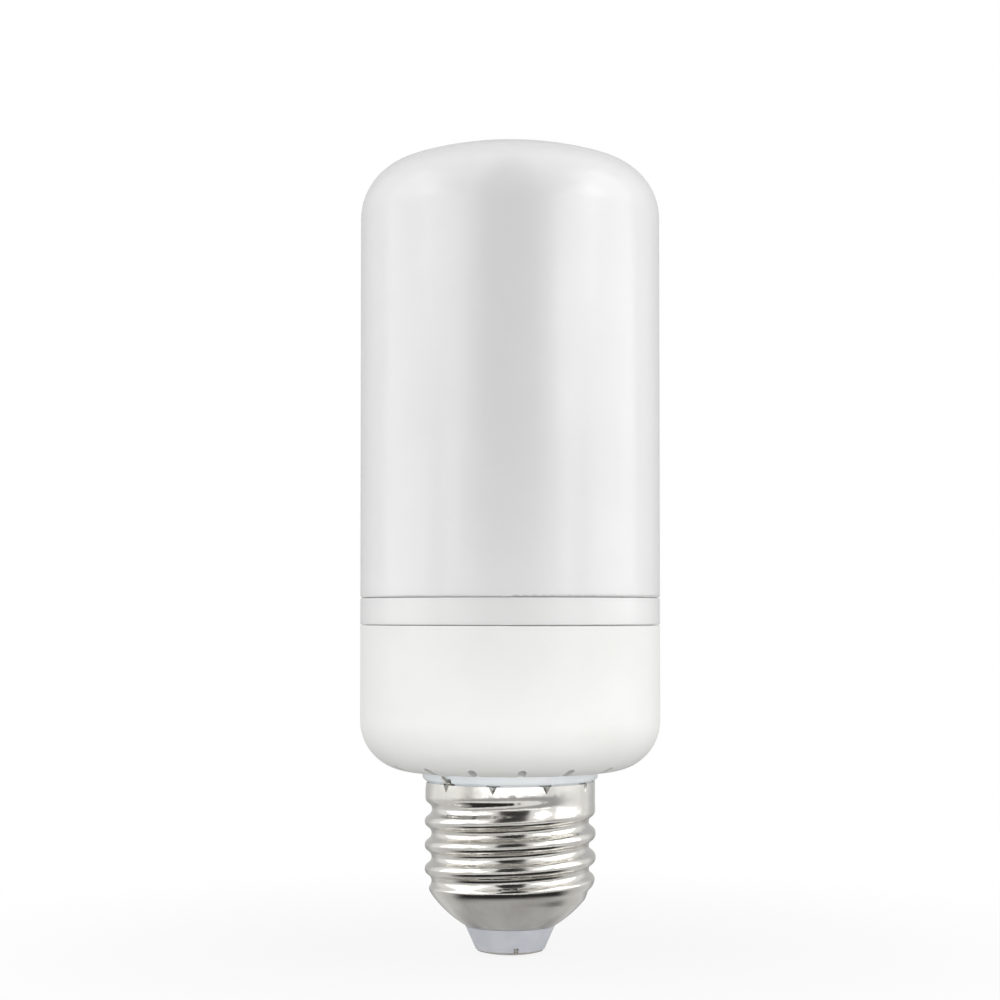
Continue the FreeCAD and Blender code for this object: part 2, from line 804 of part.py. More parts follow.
def make_bare_lead_end():
    """The centre lead's bare end, laid out along the insulator's slot and pinched under the contact's head."""
    body = new_body("bare_lead_end")
    start = "shank_radius + fit_gap"
    section = new_sketch(body, "bare_end_outline", "XZ_Plane", away=start)
    draw_circle(section, "0", "contact_height + fit_gap + bare_end_dia / 2", "bare_end_dia / 2")
    extrude(body, "bare_end_form", section, f"insulator_end_dia / 2 - ({start})")
    body.Placement = Placement(Vector(), Rotation(Vector(0, 0, 1), value("bare_end_angle")))
    bind(body, ".Placement.Rotation.Angle", "bare_end_angle")
    return body


def make_centre_contact():
    """A rivet with a low domed head, flat at its tip, and a shank up through the insulator."""
    body = new_body("centre_contact")
    corners = [
        ("0", "0"),
        ("contact_flat_dia / 2", "0", "contact_bow"),
        ("contact_dia / 2", "contact_height - contact_rim"),
        ("contact_dia / 2", "contact_height"),
        ("shank_radius", "contact_height"),
        ("shank_radius", "contact_height + shank_length"),
        ("0", "contact_height + shank_length"),
    ]
    turn_outline(body, "contact_form", corners)
    return body


# Core and LED boards


def make_led_core():
    """A tube on a foot flange, with two rails for the driver board and two screw bosses at its top."""
    body = new_body("led_core")
    corners = [
        ("core_radius - core_wall", "foot_low"),
        ("foot_radius", "foot_low"),
        ("foot_radius", "spigot_end"),
        ("core_radius", "spigot_end"),
        ("core_radius", "core_top"),
        ("core_radius - core_wall", "core_top"),
    ]
    turn_outline(body, "core_form", corners)
    into_wall = "core_radius - core_wall / 2"
    slot_end = "board_half + 2 * fit_gap"
    slot_side = "board_face + fit_gap"
    rail = [
        ("board_half - rail_catch", "-rail_width / 2"),
        (into_wall, "-rail_width / 2"),
        (into_wall, "rail_width / 2"),
        ("board_half - rail_catch", "rail_width / 2"),
        ("board_half - rail_catch", slot_side),
        (slot_end, slot_side),
        (slot_end, f"-({slot_side})"),
        ("board_half - rail_catch", f"-({slot_side})"),
    ]
    rail_sketch = new_sketch(body, "rail_outline", "XY_Plane", away="foot_low")
    draw_outline(rail_sketch, rail)
    first_rail = extrude(body, "board_rail", rail_sketch, "rail_height")
    repeat_round(body, "board_rails", [first_rail], "2")
    boss_sketch = new_sketch(body, "boss_outline", "XY_Plane", away="core_top", turn="90")
    draw_circle(boss_sketch, "screw_axis", "0", "screw_boss_dia / 2")
    boss = extrude(body, "screw_boss", boss_sketch, "screw_boss_depth", backwards=True)
    hole_sketch = new_sketch(body, "boss_hole_outline", "XY_Plane", away="core_top", turn="90")
    draw_circle(hole_sketch, "screw_axis", "0", "screw_dia / 2 + touch_gap")
    hole = extrude(body, "screw_hole", hole_sketch, "screw_boss_depth", "Pocket")
    repeat_round(body, "screw_bosses", [boss, hole], "2")
    return body


def make_led_wrap_board():
    """A thin board wrapped round the core, with a seam at the back, standing on the foot."""
    body = new_body("led_wrap_board")
    corners = rectangle("wrap_bore", "wrap_low", "wrap_radius", "wrap_top")
    turn_outline(body, "wrap_form", corners, angle="360 - wrap_seam", turn="90")
    return body


def add_led(body, plane, away, middle):
    """One LED package with a window let into its face."""
    outline = new_sketch(body, "led_outline", plane, away=away)
    low, high = f"{middle} - led_height / 2", f"{middle} + led_height / 2"
    draw_outline(outline, rectangle("-led_width / 2", low, "led_width / 2", high))
    package = extrude(body, "led_package", outline, "led_depth")
    window = new_sketch(body, "led_window_outline", plane, away=f"{away} + led_depth")
    rim = "led_window_rim"
    corners = rectangle(f"-led_width / 2 + {rim}", f"{low} + {rim}", f"led_width / 2 - {rim}", f"{high} - {rim}")
    draw_outline(window, corners)
    recess = extrude(body, "led_window", window, "led_window_depth", "Pocket")
    return [package, recess]


def make_led_row(number):
    """One row of LEDs round the board; every other row is turned by half a step."""
    body = new_body(f"flame_leds_row_{number}")
    body.AllowCompound = True
    led = add_led(body, "XZ_Plane", "wrap_radius + touch_gap", "0 * led_height")
    repeat_round(body, "row_of_leds", led, "leds_in_row")
    half_step = number % 2
    level = f"wrap_low + row_pitch * {number - 0.5}"
    turn = f"180 / leds_in_row * {half_step}"
    body.Placement = Placement(Vector(0, 0, value(level)), Rotation(Vector(0, 0, 1), value(turn)))
    bind(body, ".Placement.Base.z", level)
    if half_step:
        bind(body, ".Placement.Rotation.Angle", turn)
    return body


def make_top_board():
    """A round board screwed on the core's top end."""
    body = new_body("top_board")
    outline = new_sketch(body, "top_board_outline", "XY_Plane", away="core_top")
    draw_circle(outline, "0", "0", "top_board_radius")
    extrude(body, "top_board_form", outline, "top_board_thickness")
    holes = new_sketch(body, "top_board_hole_outline", "XY_Plane", away="core_top", turn="90")
    draw_circle(holes, "screw_axis", "0", "screw_dia / 2 + 2 * fit_gap")
    hole = extrude(body, "top_board_hole", holes, "top_board_thickness", "Pocket", backwards=True)
    repeat_round(body, "top_board_holes", [hole], "2")
    return body


def make_top_leds():
    """Three LEDs on the top board."""
    body = new_body("top_leds")
    body.AllowCompound = True
    led = add_led(body, "XY_Plane", "core_top + top_board_thickness", "top_led_axis")
    repeat_round(body, "ring_of_leds", led, "top_led_count")
    return body


def make_top_board_screws():
    """Two pan-head screws, with a slot across each head."""
    body = new_body("top_board_screws")
    body.AllowCompound = True
    seat = "core_top + top_board_thickness"
    shank = new_sketch(body, "shank_outline", "XY_Plane", away=seat, turn="90")
    draw_circle(shank, "screw_axis", "0", "screw_dia / 2")
    stem = extrude(body, "screw_shank", shank, "screw_length", backwards=True)
    crown = new_sketch(body, "head_outline", "XY_Plane", away=seat, turn="90")
    draw_circle(crown, "screw_axis", "0", "screw_head_dia / 2")
    head = extrude(body, "screw_head", crown, "screw_head_height")
    slot = new_sketch(body, "slot_outline", "XY_Plane", away=f"{seat} + screw_head_height", turn="90")
    ends = ("screw_axis - screw_head_dia", "screw_axis + screw_head_dia")
    draw_outline(slot, rectangle(ends[0], "-screw_slot / 2", ends[1], "screw_slot / 2"))
    cut = extrude(body, "screw_slot", slot, "screw_head_height / 2", "Pocket")
    repeat_round(body, "screws", [stem, head, cut], "2")
    return body


# Driver board and what it carries


def make_driver_board():
    """An upright board, notched at its lower corners, held by the core's rails and the neck's lip."""
    body = new_body("driver_board")
    corners = [
        ("-board_half + board_notch", "board_low"),
        ("board_half - board_notch", "board_low"),
        ("board_half", "board_low + board_notch"),
        ("board_half", "board_top"),
        ("-board_half", "board_top"),
        ("-board_half", "board_low + board_notch"),
    ]
    outline = new_sketch(body, "board_outline", "XZ_Plane")
    draw_outline(outline, corners)
    extrude(body, "board_form", outline, "board_thickness", middle=True)
    return body


def stand_on_board(body, across, gap_out, level):
    """Place a body beside the board's back face, by its own upright axis."""
    formulas = {"x": across, "y": f"board_face + {gap_out}", "z": level}
    body.Placement = Placement(Vector(*[value(text) for text in formulas.values()]), Rotation())
    for axis, text in formulas.items():
        bind(body, f".Placement.Base.{axis}", text)


def make_smoothing_capacitor():
    """An upright can with a rolled groove near its foot."""
    body = new_body("smoothing_capacitor")
    radius, bite = "capacitor_dia / 2", "capacitor_dia / 20"
    corners = [
        ("0", "0"),
        (radius, "0"),
        (radius, "capacitor_length / 10"),
        (f"{radius} - {bite}", f"capacitor_length / 10 + {bite}"),
        (radius, f"capacitor_length / 10 + 2 * {bite}"),
        (radius, "capacitor_length"),
        ("0", "capacitor_length"),
    ]
    turn_outline(body, "can_form", corners)
    stand_on_board(body, "0", "capacitor_dia / 2 + touch_gap", "board_top - top_part_drop - capacitor_length")
    return body


def make_fusible_resistor():
    """A barrel with a cap at each end."""
    body = new_body("fusible_resistor")
    cap = "resistor_length / 5"
    corners = [
        ("0", "0"),
        ("resistor_dia / 2", "0"),
        ("resistor_dia / 2", cap),
        ("resistor_waist / 2", f"{cap} + (resistor_dia - resistor_waist) / 2"),
        ("resistor_waist / 2", f"resistor_length - {cap} - (resistor_dia - resistor_waist) / 2"),
        ("resistor_dia / 2", f"resistor_length - {cap}"),
        ("resistor_dia / 2", "resistor_length"),
        ("0", "resistor_length"),
    ]
    turn_outline(body, "barrel_form", corners)
    stand_on_board(body, "-resistor_side", "resistor_dia / 2 + touch_gap", "board_low + resistor_level")
    return body


def make_film_capacitor():
    """A potted block with rounded upright edges."""
    body = new_body("film_capacitor")
    outline = new_sketch(body, "film_outline", "XY_Plane")
    draw_outline(outline, rectangle("-film_width / 2", "touch_gap", "film_width / 2", "film_depth"))
    extrude(body, "film_form", outline, "film_length")
    document.recompute()
    block = body.Tip
    upright = [
        f"Edge{number}"
        for number, edge in enumerate(block.Shape.Edges, 1)
        if edge.BoundBox.XLength + edge.BoundBox.YLength < 1e-3
    ]
    rounded = body.newObject("PartDesign::Fillet", "film_edges")
    rounded.Base = (block, upright)
    bind(rounded, "Radius", "film_round")
    stand_on_board(body, "film_side", "touch_gap", "board_low + film_level")
    return body


def make_transformer():
    """A bobbin with its winding between two flanges, in a ferrite frame."""
    body = new_body("transformer")
    low, high = "touch_gap", "core_block_depth"
    middle = "core_block_depth / 2"
    base = new_sketch(body, "bobbin_base_outline", "XY_Plane")
    draw_outline(base, rectangle("-winding_dia / 2", low, "winding_dia / 2", high))
    extrude(body, "bobbin_base", base, "bobbin_flange")
    coil = new_sketch(body, "winding_outline", "XY_Plane", away="bobbin_flange")
    draw_circle(coil, "0", middle, "winding_dia / 2")
    extrude(body, "winding", coil, "core_block_height - 2 * bobbin_flange")
    cap = new_sketch(body, "bobbin_top_outline", "XY_Plane", away="core_block_height - bobbin_flange")
    draw_outline(cap, rectangle("-winding_dia / 2", low, "winding_dia / 2", high))
    extrude(body, "bobbin_top", cap, "bobbin_flange")
    frame = new_sketch(body, "ferrite_outline", "XZ_Plane", away=f"-({middle})")
    half = "core_block_width / 2"
    draw_outline(frame, rectangle(f"-{half}", "-ferrite_leg", half, "core_block_height + ferrite_leg"))
    inner = "core_block_width / 2 - ferrite_leg / 2"
    draw_outline(frame, rectangle(f"-({inner})", "0 * ferrite_leg", inner, "core_block_height"))
    extrude(body, "ferrite_frame", frame, "core_block_depth / 2", middle=True)
    stand_on_board(body, "0", "touch_gap", "board_low + core_block_level")
    return body


def make_chip(label, width, length, depth, pins, pitch, level):
    """A flat moulded package on the board's front face, with a row of pins along each side."""
    body = new_body(label)
    outline = new_sketch(body, "package_outline", "XZ_Plane", away="board_face + touch_gap")
    draw_outline(outline, rectangle(f"-{width} / 2", "0", f"{width} / 2", length))
    extrude(body, "package", outline, depth)
    feet = new_sketch(body, "pins_outline", "XZ_Plane", away="board_face + touch_gap")
    count = int(value(pins))
    reach = f"{width} / 2 + pin_reach"
    for index in range(count):
        middle = f"{length} / 2 + {pitch} * {index - (count - 1) / 2}"
        low, high = f"{middle} - pin_width / 2", f"{middle} + pin_width / 2"
        draw_outline(feet, rectangle(f"-({reach})", low, reach, high))
    extrude(body, "pins", feet, "pin_thickness")
    body.Placement = Placement(Vector(0, 0, value(level)), Rotation())
    bind(body, ".Placement.Base.z", level)
    return body


# Leads


def rounded_route(points):
    """Straight runs joined by tangent arcs of the leads' bend, or less where a run is short."""
    bend = value("lead_bend")
    edges, start = [], points[0]
    for before, corner, after in zip(points, points[1:], points[2:]):
        back, ahead = before - corner, after - corner
        turn = math.pi - back.getAngle(ahead)
        trim = min(0.45 * min(back.Length, ahead.Length), bend * math.tan(turn / 2))
        back, ahead = back.normalize(), ahead.normalize()
        radius = trim / math.tan(turn / 2)
        inward = (back + ahead).normalize()
        middle = corner + inward * (math.hypot(trim, radius) - radius)
        edges.append(Part.LineSegment(start, corner + back * trim).toShape())
        edges.append(Part.Arc(corner + back * trim, middle, corner + ahead * trim).toShape())
        start = corner + ahead * trim
        print(f"lead bend radius {radius:.2f} mm")
    edges.append(Part.LineSegment(start, points[-1]).toShape())
    return Part.Wire(edges)


def wire_along(points, thickness):
    """A round wire along a route."""
    route = rounded_route(points)
    start = (points[1] - points[0]).normalize()
    section = Part.Wire(Part.Circle(points[0], start, thickness / 2).toShape())
    wire = route.makePipeShell([section], True, True)
    share = wire.Volume / (math.pi * thickness**2 / 4 * route.Length)
    print(f"lead of {route.Length:.1f} mm, volume {share:.4f} of section times length")
    return wire


def new_leads(label, shapes):
    """A node for one lead, or for several alike."""
    feature = document.addObject("Part::Feature", label)
    feature.Label = label
    feature.Shape = shapes[0] if len(shapes) == 1 else Part.makeCompound(shapes)
    return feature


def polar(radius, angle, height):
    """A point by radius, angle in degrees and height."""
    return Rotation(Vector(0, 0, 1), angle).multVec(Vector(radius, 0, height))


def make_side_lead():
    """From the board down round the neck's lower end, up its slot and over the cap's rim, with a free tip."""
    thickness = value("side_lead_dia")
    angle = value("side_lead_angle")
    face = -value("board_face + touch_gap") - thickness / 2
    below = value("neck_low - lead_drop")
    over = value("shell_rim + fit_gap + side_lead_dia / 2")
    in_slot = value("neck_radius - lead_slot_depth + fit_gap + side_lead_dia / 2")
    outside = value("flange_dia / 2 + fit_gap + side_lead_dia / 2")
    points = [
        Vector(-value("side_lead_pad"), face, value("board_low + lead_rise")),
        Vector(-value("side_lead_pad"), face, below),
        polar(in_slot, angle, below),
        polar(in_slot, angle, over),
        polar(outside, angle, over),
        polar(outside, angle + value("side_lead_lean"), value("housing_low - side_lead_dia")),
    ]
    return new_leads("side_lead", [wire_along(points, thickness)])


def make_centre_lead():
    """From the board down to the top of the contact's shank."""
    thickness = value("centre_lead_dia")
    side = value("centre_lead_pad")
    face = -value("board_face + touch_gap") - thickness / 2
    shank_top = value("contact_height + shank_length")
    drop = value("neck_low") - shank_top
    points = [
        Vector(side, face, value("board_low + lead_rise")),
        Vector(side, face, shank_top + drop * 0.9),
        Vector(0, 0, shank_top + drop * 0.4),
        Vector(0, 0, shank_top),
    ]
    return new_leads("centre_lead", [wire_along(points, thickness)])


def make_led_leads():
    """Two leads from the driver board up inside the core to the underside of the top board."""
    thickness = value("led_lead_dia")
    face = value("board_face + touch_gap") + thickness / 2
    low = value("board_top - led_lead_drop")
    free = value("board_top + 2 * led_lead_dia")
    top = value("core_top")
    inward = 2 * thickness
    wires = []
    for side in (-value("led_lead_pad"), value("led_lead_pad")):
        points = [
            Vector(side, face, low),
            Vector(side, face, free),
            Vector(side, face + inward, free + (top - free) / 4),
            Vector(side, face + inward, top),
        ]
        wires.append(wire_along(points, thickness))
    return new_leads("led_leads", wires)


# The whole bulb

nodes = [
    make_diffuser_cover(),
    make_cover_ring(),
    make_base_housing(),
    make_cap_neck(),
    make_screw_shell(),
    make_cap_insulator(),
    make_bare_lead_end(),
    make_centre_contact(),
    make_led_core(),
    make_led_wrap_board(),
    *[make_led_row(number + 1) for number in range(int(value("led_rows")))],
    make_top_board(),
    make_top_leds(),
    make_top_board_screws(),
    make_driver_board(),
    make_smoothing_capacitor(),
    make_fusible_resistor(),
    make_film_capacitor(),
    make_transformer(),
    make_chip(
        "bridge_rectifier", "bridge_width", "bridge_length", "bridge_depth", "2", "bridge_pin_pitch",
        "board_low + bridge_level",
    ),
    make_chip(
        "driver_chip", "chip_width", "driver_chip_length", "chip_depth", "driver_chip_pins", "pin_pitch",
        "board_low + driver_chip_level",
    ),
    make_chip(
        "flame_chip", "chip_width", "flame_chip_length", "chip_depth", "flame_chip_pins", "pin_pitch",
        "board_top - top_part_drop - flame_chip_length",
    ),
    make_side_lead(),
    make_centre_lead(),
    make_led_leads(),
]
document.recompute()

# Nothing is written unless every object and every node's shape is sound
failed = [thing.Name for thing in document.Objects if {"Invalid", "Error"} & set(thing.State)]
if failed:
    raise RuntimeError(f"objects that failed: {failed}")
for node in nodes:
    if node.Shape.isNull() or not node.Shape.isValid() or not node.Shape.Solids:
        raise RuntimeError(f"{node.Label} has no valid solid")

os.makedirs("parts", exist_ok=True)
for node in nodes:
    node.Shape.exportStep(f"parts/{node.Label}.step")
    print(f"{node.Label}: {len(node.Shape.Solids)} solid(s), {node.Shape.Volume:.1f} cubic mm")
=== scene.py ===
import logging
import math
from collections.abc import Sequence
from dataclasses import dataclass, field
from enum import Enum
from typing import Any

import bpy
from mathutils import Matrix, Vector


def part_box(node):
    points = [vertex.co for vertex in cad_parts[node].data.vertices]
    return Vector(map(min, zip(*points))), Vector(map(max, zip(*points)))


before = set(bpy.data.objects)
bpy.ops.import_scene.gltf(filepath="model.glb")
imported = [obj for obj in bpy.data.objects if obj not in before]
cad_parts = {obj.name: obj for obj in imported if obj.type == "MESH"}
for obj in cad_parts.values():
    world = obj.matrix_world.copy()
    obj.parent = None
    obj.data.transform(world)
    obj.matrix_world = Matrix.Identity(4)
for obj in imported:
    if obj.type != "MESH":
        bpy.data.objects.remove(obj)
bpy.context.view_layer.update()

log = logging.getLogger("flame_bulb")

Node = bpy.types.Node
Socket = bpy.types.NodeSocket
Tree = bpy.types.NodeTree
Material = bpy.types.Material
Pair = tuple[float, float]

WHITE = "FFFFFF"
PHOSPHOR = "E8B93C"

# Settings of a Map Range and a Mix node, and the sockets by which a Mix node takes and gives
SMOOTH = {"interpolation_type": "SMOOTHSTEP"}
NUMBERS = {"data_type": "FLOAT"}
COLOURS = {"data_type": "RGBA"}
SHARE, NUMBER_A, NUMBER_B, COLOUR_A, COLOUR_B = 0, 2, 3, 6, 7
MIXED_COLOUR = 2


# Colours, sizes and nodes


def linear(colour: str) -> tuple[float, float, float, float]:
    """Turn an sRGB hex colour to linear light.

    Args:
        colour: Six hex digits, such as "E8E8E6".

    Returns:
        Red, green, blue and an alpha of 1.
    """
    parts = [int(colour[start:start + 2], 16) / 255 for start in (0, 2, 4)]
    light = [part / 12.92 if part <= 0.04045 else ((part + 0.055) / 1.055) ** 2.4 for part in parts]
    return light[0], light[1], light[2], 1.0


def metres(millimetres: float) -> float:
    """Turn millimetres to metres."""
    return millimetres / 1000


def per_metre(millimetres: float) -> float:
    """The texture scale whose features are about this many millimetres wide."""
    return 1000 / millimetres


def cosines(degrees: Pair) -> Pair:
    """The cosines of two angles in degrees."""
    return math.cos(math.radians(degrees[0])), math.cos(math.radians(degrees[1]))


def add_node(tree: Tree, kind: str, inputs: Sequence[Any] | dict[str | int, Any] = (), **settings: Any) -> Node:
    """Add a shader node with its settings and links.

    Args:
        tree: The node tree that takes the node.
        kind: The node's Blender type, without its first word ShaderNode.
        inputs: What goes in, in order, or by input name or number. A number or a colour is set,
            a socket is linked, and a node is linked by its first output.
        settings: Attributes to set on the node.

    Returns:
        The new node.
    """
    node = tree.nodes.new(f"ShaderNode{kind}")
    for name, setting in settings.items():
        setattr(node, name, setting)
    for name, given in inputs.items() if isinstance(inputs, dict) else enumerate(inputs):
        if isinstance(given, Node):
            given = given.outputs[0]
        if isinstance(given, Socket):
            tree.links.new(given, node.inputs[name])
        else:
            node.inputs[name].default_value = given
    return node


def empty_tree(owner: Material | bpy.types.World) -> Tree:
    """Turn a material's or a world's nodes on, and clear them.

    Args:
        owner: The material or world.

    Returns:
        Its empty node tree.
    """
    owner.use_nodes = True
    owner.node_tree.nodes.clear()
    return owner.node_tree


def axis_reach(tree: Tree, split: Sequence[Socket]) -> Node:
    """Work out how far a place lies from the bulb's axis.

    Args:
        tree: The node tree that takes the nodes.
        split: The place's x, y and z.

    Returns:
        The node that gives the distance.
    """
    squares = [add_node(tree, "Math", [split[axis], 2.0], operation="POWER") for axis in (0, 1)]
    return add_node(tree, "Math", [add_node(tree, "Math", squares, operation="ADD")], operation="SQRT")


# Finishes


@dataclass(frozen=True)
class Finish:
    """What a surface is made of: two tones in soft clouds, a polish that varies with them, and a fine relief."""

    name: str
    colour: str
    shade: str
    roughness: float
    ior: float = 1.5
    cloud_mm: float = 14.0
    cloud_detail: float = 3.0
    tone_edges: Pair = (0.35, 0.65)
    polish_edges: Pair = (0.3, 0.7)
    grain_mm: float = 0.25
    grain_detail: float = 2.0
    grain_depth_mm: float = 0.004

    def build(self) -> Material:
        """Make the material.

        Returns:
            A node material named for the finish.
        """
        material = bpy.data.materials.new(self.name)
        tree = empty_tree(material)
        place = add_node(tree, "TexCoord").outputs["Object"]
        shader = add_node(tree, "BsdfPrincipled", {"Roughness": self.roughness, "IOR": self.ior})
        self.dress(tree, shader, place)
        add_node(tree, "OutputMaterial", {"Surface": shader})
        return material

    def dress(self, tree: Tree, shader: Node, place: Socket) -> None:
        """Blend the two tones, vary the polish and raise the grain.

        Args:
            tree: The material's node tree.
            shader: The Principled shader.
            place: The object coordinates, in metres.
        """
        cloud = add_node(
            tree, "TexNoise", {"Vector": place, "Scale": per_metre(self.cloud_mm), "Detail": self.cloud_detail}
        )
        share = add_node(tree, "MapRange", [cloud, *self.tone_edges], **SMOOTH)
        tones = {SHARE: share, COLOUR_A: linear(self.colour), COLOUR_B: linear(self.shade)}
        tone = add_node(tree, "Mix", tones, **COLOURS)
        polish = add_node(tree, "MapRange", [cloud, *self.polish_edges, *self.polish_limits()], **SMOOTH)
        grain = add_node(
            tree,
            "TexNoise",
            {"Vector": self.grain_place(tree, place), "Scale": per_metre(self.grain_mm), "Detail": self.grain_detail},
        )
        bump = add_node(
            tree, "Bump", {"Strength": 1.0, "Distance": metres(self.grain_depth_mm), "Height": grain}
        )
        tree.links.new(tone.outputs[MIXED_COLOUR], shader.inputs["Base Color"])
        tree.links.new(polish.outputs[0], shader.inputs["Roughness"])
        tree.links.new(bump.outputs[0], shader.inputs["Normal"])

    def polish_limits(self) -> Pair:
        """The smoothest and the roughest spot."""
        raise NotImplementedError

    def grain_place(self, tree: Tree, place: Socket) -> Socket | Node:
        """Where the grain is read: at the place itself."""
        return place


@dataclass(frozen=True)
class MouldedPlastic(Finish):
    """Injection moulded plastic: faint clouds of colour from its flow, and the grain of the mould."""

    polish_change: float = 0.05

    def polish_limits(self) -> Pair:
        """A little to each side of the finish's own roughness."""
        return self.roughness - self.polish_change, self.roughness + self.polish_change


@dataclass(frozen=True)
class OpalPolycarbonate(MouldedPlastic):
    """Polycarbonate filled with a diffusing powder: light sinks in a little before it comes back."""

    glow: float = 0.6
    glow_mm: float = 2.5
    glow_reach: tuple[float, float, float] = (1.0, 0.95, 0.9)
    film: float = 1.0
    film_roughness: float = 0.22

    def dress(self, tree: Tree, shader: Node, place: Socket) -> None:
        """Add the light that sinks in, and the smooth skin that the mould leaves.

        Args:
            tree: The material's node tree.
            shader: The Principled shader.
            place: The object coordinates, in metres.
        """
        super().dress(tree, shader, place)
        shader.inputs["Subsurface Weight"].default_value = self.glow
        shader.inputs["Subsurface Scale"].default_value = metres(self.glow_mm)
        shader.inputs["Subsurface Radius"].default_value = self.glow_reach
        shader.inputs["Coat Weight"].default_value = self.film
        shader.inputs["Coat Roughness"].default_value = self.film_roughness


@dataclass(frozen=True)
class RolledNickel(Finish):
    """Plated or drawn metal: bright, with slight stains, and fine marks round the axis from its forming."""

    cloud_mm: float = 5.0
    cloud_detail: float = 4.0
    tone_edges: Pair = (0.4, 0.7)
    grain_mm: float = 0.12
    grain_depth_mm: float = 0.0015
    polish_share: Pair = (0.7, 1.4)
    mark_stretch: tuple[float, float, float] = (0.04, 0.04, 1.0)

    def dress(self, tree: Tree, shader: Node, place: Socket) -> None:
        """Make the surface metal."""
        super().dress(tree, shader, place)
        shader.inputs["Metallic"].default_value = 1.0

    def polish_limits(self) -> Pair:
        """Brighter between the stains, and duller on them."""
        return self.roughness * self.polish_share[0], self.roughness * self.polish_share[1]

    def grain_place(self, tree: Tree, place: Socket) -> Socket | Node:
        """The place drawn out round the axis, so that the grain turns to marks."""
        return add_node(tree, "Mapping", {"Vector": place, "Scale": self.mark_stretch})


@dataclass(frozen=True)
class LedPackage(MouldedPlastic):
    """A white moulded frame round a window of phosphor, told apart by the place in the package."""

    rim_mm: float = 0.4
    width_mm: float = 2.8
    height_mm: float = 3.5
    count: int = 12
    level: float = 0.0
    turn: float = 0.0

    def dress(self, tree: Tree, shader: Node, place: Socket) -> None:
        """Fold the angle round the axis to one package, and colour its window.

        Args:
            tree: The material's node tree.
            shader: The Principled shader.
            place: The object coordinates, in metres.
        """
        super().dress(tree, shader, place)
        step = 2 * math.pi / self.count
        start = math.pi / 2 - self.turn + step / 2 + 2 * math.pi
        split = add_node(tree, "SeparateXYZ", [place]).outputs
        angle = add_node(tree, "Math", [split[1], split[0]], operation="ARCTAN2")
        offset = add_node(tree, "Math", [angle, start], operation="ADD")
        within = add_node(tree, "Math", [offset, step], operation="MODULO")
        folded = add_node(tree, "Math", [within, step / 2], operation="SUBTRACT")
        sine = add_node(tree, "Math", [folded], operation="SINE")
        aside = add_node(tree, "Math", [axis_reach(tree, split), sine], operation="MULTIPLY")
        raised = add_node(tree, "Math", [split[2], self.level], operation="SUBTRACT")
        inside = []
        for signed, size in ((aside, self.width_mm), (raised, self.height_mm)):
            distance = add_node(tree, "Math", [signed], operation="ABSOLUTE")
            reach = metres(size / 2 - self.rim_mm)
            inside.append(add_node(tree, "Math", [distance, reach], operation="LESS_THAN"))
        window = add_node(tree, "Math", inside, operation="MULTIPLY")
        frame_tone = shader.inputs["Base Color"].links[0].from_socket
        tones = {SHARE: window, COLOUR_A: frame_tone, COLOUR_B: linear(PHOSPHOR)}
        tone = add_node(tree, "Mix", tones, **COLOURS)
        tree.links.new(tone.outputs[MIXED_COLOUR], shader.inputs["Base Color"])


